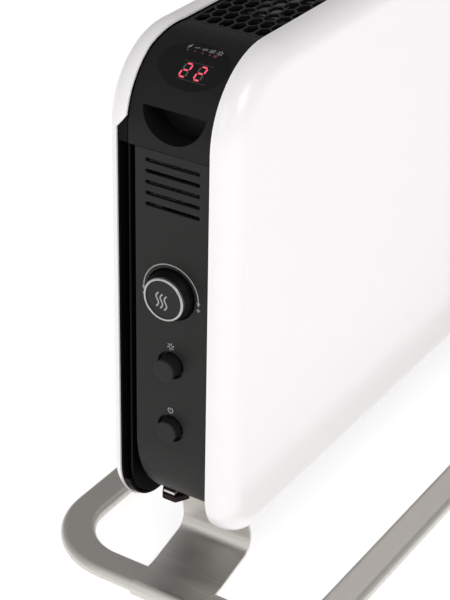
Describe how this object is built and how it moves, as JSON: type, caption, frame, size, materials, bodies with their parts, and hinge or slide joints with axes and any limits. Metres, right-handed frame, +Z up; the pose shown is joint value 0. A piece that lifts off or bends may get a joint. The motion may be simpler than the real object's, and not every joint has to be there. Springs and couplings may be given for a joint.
{
  "type": "oil filled room heater",
  "caption": "Slim floor-standing oil filled heater with white steel panels, black controls end, honeycomb outlet and tubular foot frame.",
  "frame": {"origin": "on the floor under the middle of the heater", "axes": "+X along the heater away from the controls end, +Y from the front panel to the rear panel, +Z up"},
  "size_m": [0.77, 0.2676, 0.462],
  "materials": {
    "white_enamel": "gloss white enamel on pressed steel",
    "black_steel": "black powder coat",
    "zinc_screw": "zinc plated",
    "black_plastic": "satin black moulding",
    "smoked_window": "gloss smoked acrylic",
    "charcoal_plastic": "fine textured charcoal",
    "display_black": "digit module",
    "lamp_lens": "diffused red lens",
    "board_green": "circuit board",
    "switch_black": "switch body",
    "button_black": "satin black control",
    "satin_silver": "satin plated ring",
    "shaft_steel": "ground steel",
    "pendulum_brass": "turned brass",
    "natural_plastic": "terminal plastic",
    "core_steel": "grey stoved paint on steel",
    "galvanised": "galvanised sheet",
    "element_steel": "element sheath",
    "motor_black": "motor can",
    "impeller_aluminium": "sheet aluminium",
    "brushed_aluminium": "brushed, clear anodised",
    "rubber_pad": "moulded rubber",
    "thumb_brown": "dark brown moulded knob"
  },
  "bodies": {
    "root": {"front_panel": "white_enamel", "rear_panel": "white_enamel", "front_frame": "black_steel", "rear_frame": "black_steel", "rear_panel_screws": "zinc_screw", "control_top_moulding": "black_plastic", "far_top_moulding": "black_plastic", "display_window": "smoked_window", "control_end_plate": "charcoal_plastic", "far_end_plate": "charcoal_plastic", "outlet_grille": "black_plastic", "underside_cover": "black_steel", "cord_gland": "black_plastic", "display_module": "display_black", "indicator_lamps": "lamp_lens", "display_board": "board_green", "control_board": "board_green", "encoder_body": "switch_black", "fan_switch": "switch_black", "power_switch": "switch_black", "tilt_switch_case": "switch_black", "tilt_pin": "shaft_steel", "terminal_block": "natural_plastic", "room_sensor": "switch_black", "header_tubes": "core_steel", "control_core_bracket": "galvanised", "far_core_bracket": "galvanised", "heating_element": "element_steel", "filler_plug": "pendulum_brass", "thermal_cutout": "element_steel", "blower_housing": "galvanised", "blower_bushes": "pendulum_brass", "blower_motor": "motor_black", "foot_tube_rear": "brushed_aluminium", "foot_tube_front": "brushed_aluminium", "tube_joiners": "black_plastic", "foot_pads": "rubber_pad", "control_foot_strap": "brushed_aluminium", "far_foot_strap": "brushed_aluminium", "thumb_screws": "thumb_brown", "oil_column_1": "core_steel", "oil_column_2": "core_steel", "oil_column_3": "core_steel", "oil_column_4": "core_steel", "oil_column_5": "core_steel", "oil_column_6": "core_steel", "oil_column_7": "core_steel", "oil_column_8": "core_steel"},
    "knob_plunger": {"encoder_plunger": "switch_black"},
    "knob": {"knob_body": "button_black", "knob_ring": "satin_silver", "knob_face": "button_black", "knob_shaft": "shaft_steel"},
    "fan_button": {"fan_button": "button_black"},
    "power_button": {"power_button": "button_black"},
    "blower_rotor": {"blower_shaft": "shaft_steel", "blower_impeller": "impeller_aluminium"},
    "tilt_pendulum": {"tilt_pendulum": "pendulum_brass"}
  },
  "joints": [
    {"name": "knob_press", "type": "slide", "parent": "root", "child": "knob_plunger", "axis": [1, 0, 0], "range_m": [0, 0.001], "stiffness_N_per_m": 900, "springref_m": -0.001},
    {"name": "knob_turn", "type": "hinge", "parent": "knob_plunger", "child": "knob", "pos_m": [-0.37, 0, 0.2785], "axis": [1, 0, 0], "continuous": true},
    {"name": "fan_button_press", "type": "slide", "parent": "root", "child": "fan_button", "axis": [1, 0, 0], "range_m": [0, 0.0029], "stiffness_N_per_m": 500, "springref_m": -0.001},
    {"name": "power_button_release", "type": "slide", "parent": "root", "child": "power_button", "axis": [1, 0, 0], "range_m": [-0.0029, 0]},
    {"name": "blower_spin", "type": "hinge", "parent": "root", "child": "blower_rotor", "pos_m": [0.025, 0, 0.119], "axis": [1, 0, 0], "continuous": true},
    {"name": "tilt_swing", "type": "hinge", "parent": "root", "child": "tilt_pendulum", "pos_m": [-0.3, 0, 0.21], "axis": [1, 0, 0], "range_deg": [-30, 30]}
  ]
}
